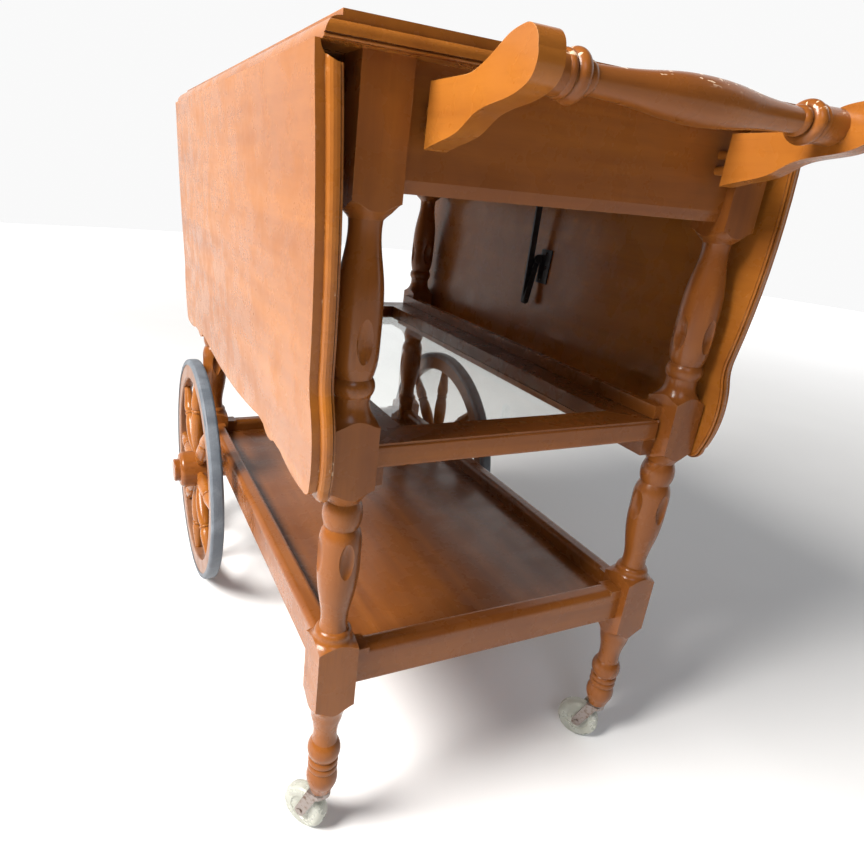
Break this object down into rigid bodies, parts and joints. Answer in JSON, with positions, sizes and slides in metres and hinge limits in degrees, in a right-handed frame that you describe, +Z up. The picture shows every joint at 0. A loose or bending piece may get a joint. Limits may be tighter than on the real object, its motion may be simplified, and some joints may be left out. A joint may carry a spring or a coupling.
{
  "type": "drop-leaf bar cart",
  "caption": "Turned-leg wooden serving cart with two drop leaves, a sliding glass tray, a railed lower shelf, large spoked wheels, casters and a pull handle.",
  "frame": {"origin": "on the floor under the middle of the bounding box", "axes": "+Z up, +X across the cart, -Y towards the pull handle and the casters"},
  "size_m": [0.526, 0.8619, 0.75],
  "materials": {
    "maple_top": "gloss varnished maple, honey orange",
    "maple_frame": "gloss varnished maple, honey brown",
    "maple_panel": "satin varnished maple veneer",
    "tray_glass": "clear float glass",
    "tyre": "dull blue-grey rubber",
    "caster_plastic": "translucent off-white plastic",
    "fork_steel": "tarnished pressed steel",
    "hinge_steel": "aged plated steel",
    "black_iron": "black enamelled iron",
    "axle_steel": "plain steel rod"
  },
  "bodies": {
    "root": {"apron_front": "maple_frame", "apron_left": "maple_frame", "apron_rear": "maple_frame", "apron_right": "maple_frame", "axle": "axle_steel", "axle_block_left": "maple_frame", "axle_block_right": "maple_frame", "brace_frame_plate_left": "black_iron", "brace_frame_plate_right": "black_iron", "caster_stem_left": "fork_steel", "caster_stem_right": "fork_steel", "guide_strip_left": "maple_frame", "guide_strip_right": "maple_frame", "handle_arm_left": "maple_frame", "handle_arm_right": "maple_frame", "handle_bar": "maple_frame", "hinge_plates_top_left": "hinge_steel", "hinge_plates_top_right": "hinge_steel", "leg_front_left": "maple_frame", "leg_front_right": "maple_frame", "leg_rear_left": "maple_frame", "leg_rear_right": "maple_frame", "shelf_panel": "maple_panel", "shelf_rail_front": "maple_frame", "shelf_rail_left": "maple_frame", "shelf_rail_rear": "maple_frame", "shelf_rail_right": "maple_frame", "tabletop": "maple_top", "tray_runner_left": "maple_frame", "tray_runner_right": "maple_frame"},
    "drop_leaf_left": {"leaf_left": "maple_top", "hinge_plates_leaf_left": "hinge_steel", "brace_leaf_plate_left": "black_iron"},
    "upper_link_left": {"brace_upper_link_left": "black_iron"},
    "lower_link_left": {"brace_lower_link_left": "black_iron"},
    "big_wheel_left": {"wheel_left_cap": "maple_frame", "wheel_left_hub": "maple_frame", "wheel_left_rim": "maple_frame", "wheel_left_spokes": "maple_frame", "wheel_left_tyre": "tyre"},
    "swivel_left": {"caster_fork_left": "fork_steel"},
    "roller_left": {"caster_wheel_left": "caster_plastic"},
    "drop_leaf_right": {"leaf_right": "maple_top", "hinge_plates_leaf_right": "hinge_steel", "brace_leaf_plate_right": "black_iron"},
    "upper_link_right": {"brace_upper_link_right": "black_iron"},
    "lower_link_right": {"brace_lower_link_right": "black_iron"},
    "big_wheel_right": {"wheel_right_cap": "maple_frame", "wheel_right_hub": "maple_frame", "wheel_right_rim": "maple_frame", "wheel_right_spokes": "maple_frame", "wheel_right_tyre": "tyre"},
    "swivel_right": {"caster_fork_right": "fork_steel"},
    "roller_right": {"caster_wheel_right": "caster_plastic"},
    "tray": {"tray_frame_front": "maple_frame", "tray_frame_rear": "maple_frame", "tray_frame_left": "maple_frame", "tray_frame_right": "maple_frame", "tray_glass": "tray_glass"}
  },
  "joints": [
    {"name": "leaf_left_drop", "type": "hinge", "parent": "root", "child": "drop_leaf_left", "pos_m": [-0.221, 0.0136, 0.733], "axis": [0, 1, 0], "range_deg": [0, 92.4]},
    {"name": "brace_upper_left_fold", "type": "hinge", "parent": "root", "child": "upper_link_left", "pos_m": [-0.198, 0.0136, 0.6516], "axis": [0, 1, 0], "range_deg": [0, 111.69]},
    {"name": "brace_lower_left_fold", "type": "hinge", "parent": "drop_leaf_left", "child": "lower_link_left", "pos_m": [-0.20668, 0.0136, 0.57046], "axis": [0, -1, 0], "range_deg": [0, 152.41]},
    {"name": "wheel_left_spin", "type": "hinge", "parent": "root", "child": "big_wheel_left", "pos_m": [-0.224, 0.2496, 0.18], "axis": [1, 0, 0], "continuous": true},
    {"name": "caster_left_swivel", "type": "hinge", "parent": "root", "child": "swivel_left", "pos_m": [-0.185, -0.2899, 0.055], "axis": [0, 0, 1], "continuous": true},
    {"name": "caster_left_roll", "type": "hinge", "parent": "swivel_left", "child": "roller_left", "pos_m": [-0.1952, -0.2763, 0.025], "axis": [-0.8, -0.6, 0], "continuous": true},
    {"name": "leaf_right_drop", "type": "hinge", "parent": "root", "child": "drop_leaf_right", "pos_m": [0.221, 0.0136, 0.733], "axis": [0, -1, 0], "range_deg": [0, 92.4]},
    {"name": "brace_upper_right_fold", "type": "hinge", "parent": "root", "child": "upper_link_right", "pos_m": [0.198, 0.0136, 0.6516], "axis": [0, -1, 0], "range_deg": [0, 111.69]},
    {"name": "brace_lower_right_fold", "type": "hinge", "parent": "drop_leaf_right", "child": "lower_link_right", "pos_m": [0.20668, 0.0136, 0.57046], "axis": [0, 1, 0], "range_deg": [0, 152.41]},
    {"name": "wheel_right_spin", "type": "hinge", "parent": "root", "child": "big_wheel_right", "pos_m": [0.224, 0.2496, 0.18], "axis": [1, 0, 0], "continuous": true},
    {"name": "caster_right_swivel", "type": "hinge", "parent": "root", "child": "swivel_right", "pos_m": [0.185, -0.2899, 0.055], "axis": [0, 0, 1], "continuous": true},
    {"name": "caster_right_roll", "type": "hinge", "parent": "swivel_right", "child": "roller_right", "pos_m": [0.1748, -0.2763, 0.025], "axis": [-0.8, -0.6, 0], "continuous": true},
    {"name": "tray_slide", "type": "slide", "parent": "root", "child": "tray", "axis": [0, -1, 0], "range_m": [0, 0.3]}
  ],
  "couplings": [
    {"joint": "brace_upper_left_fold", "follows": "leaf_left_drop", "ratio": 1.2085},
    {"joint": "brace_lower_left_fold", "follows": "leaf_left_drop", "ratio": 1.6492},
    {"joint": "brace_upper_right_fold", "follows": "leaf_right_drop", "ratio": 1.2085},
    {"joint": "brace_lower_right_fold", "follows": "leaf_right_drop", "ratio": 1.6492}
  ]
}
